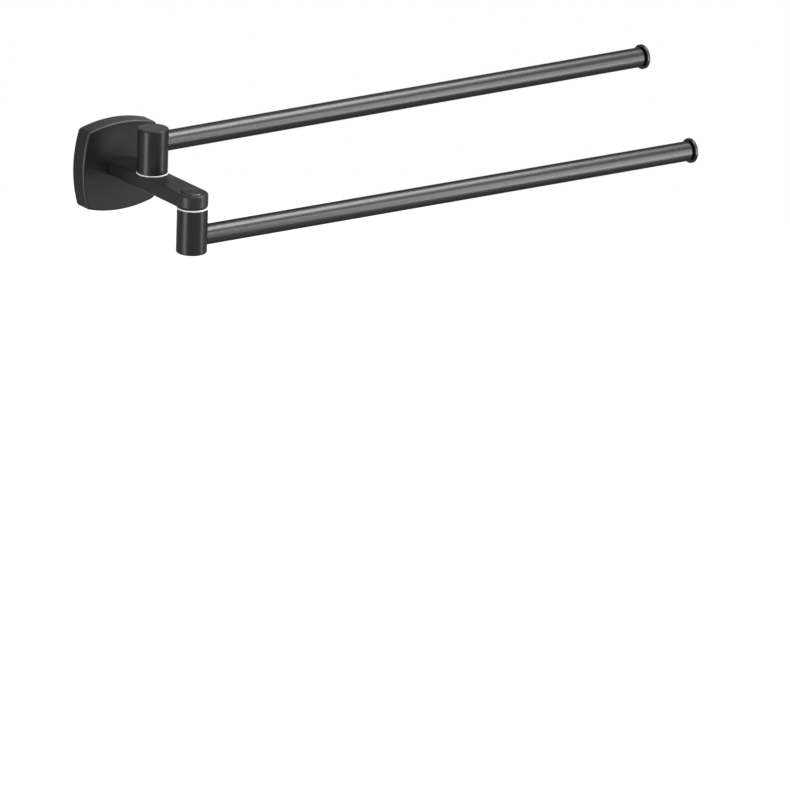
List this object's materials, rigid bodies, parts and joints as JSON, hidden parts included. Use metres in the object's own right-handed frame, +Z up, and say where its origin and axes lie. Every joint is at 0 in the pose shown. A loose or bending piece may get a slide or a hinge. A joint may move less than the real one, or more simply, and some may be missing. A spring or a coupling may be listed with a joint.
{
  "type": "swing arm towel bar",
  "caption": "Wall-mounted towel holder: a square plate carries a short arm on which round bars swing, one above the arm and one below it.",
  "frame": {"origin": "middle of the wall plate's back, on the wall plane", "axes": "+X along the wall towards the bars' tips at rest, -Y out from the wall into the room, +Z up"},
  "size_m": [0.5089, 0.1349, 0.0844],
  "materials": {
    "dark_satin_coat": "satin dark grey coat on cast alloy",
    "dark_tube_coat": "semi-gloss dark grey coat on drawn tube",
    "white_nylon": "smooth white plastic",
    "bush_nylon": "natural plastic, smooth",
    "plated_steel": "zinc plated",
    "plug_alloy": "turned, bare"
  },
  "bodies": {
    "wall_mount": {"wall_bracket": "plated_steel", "wall_plate": "dark_satin_coat", "plate_set_screw": "plated_steel", "arm": "dark_satin_coat", "arm_screws": "plated_steel", "arm_screw_washers": "plated_steel", "rear_cover_cap": "dark_satin_coat", "rear_arm_bush": "bush_nylon", "rear_thrust_washer": "white_nylon", "front_cover_cap": "dark_satin_coat", "front_arm_bush": "bush_nylon", "front_thrust_washer": "white_nylon"},
    "rear_bar": {"rear_pivot_bolt": "plated_steel", "rear_disc_spring": "plated_steel", "rear_barrel": "dark_satin_coat", "rear_tube": "dark_tube_coat", "rear_tube_plug": "plug_alloy", "rear_tube_stud": "plated_steel", "rear_end_cap": "dark_tube_coat"},
    "front_bar": {"front_pivot_bolt": "plated_steel", "front_disc_spring": "plated_steel", "front_barrel": "dark_satin_coat", "front_tube": "dark_tube_coat", "front_tube_plug": "plug_alloy", "front_tube_stud": "plated_steel", "front_end_cap": "dark_tube_coat"}
  },
  "joints": [
    {"name": "rear_swing", "type": "hinge", "parent": "wall_mount", "child": "rear_bar", "pos_m": [0, -0.0565, 0.0067], "axis": [0, 0, 1], "range_deg": [-185, 5]},
    {"name": "front_swing", "type": "hinge", "parent": "wall_mount", "child": "front_bar", "pos_m": [0, -0.1125, -0.0067], "axis": [0, 0, 1], "range_deg": [-190, 13]}
  ]
}
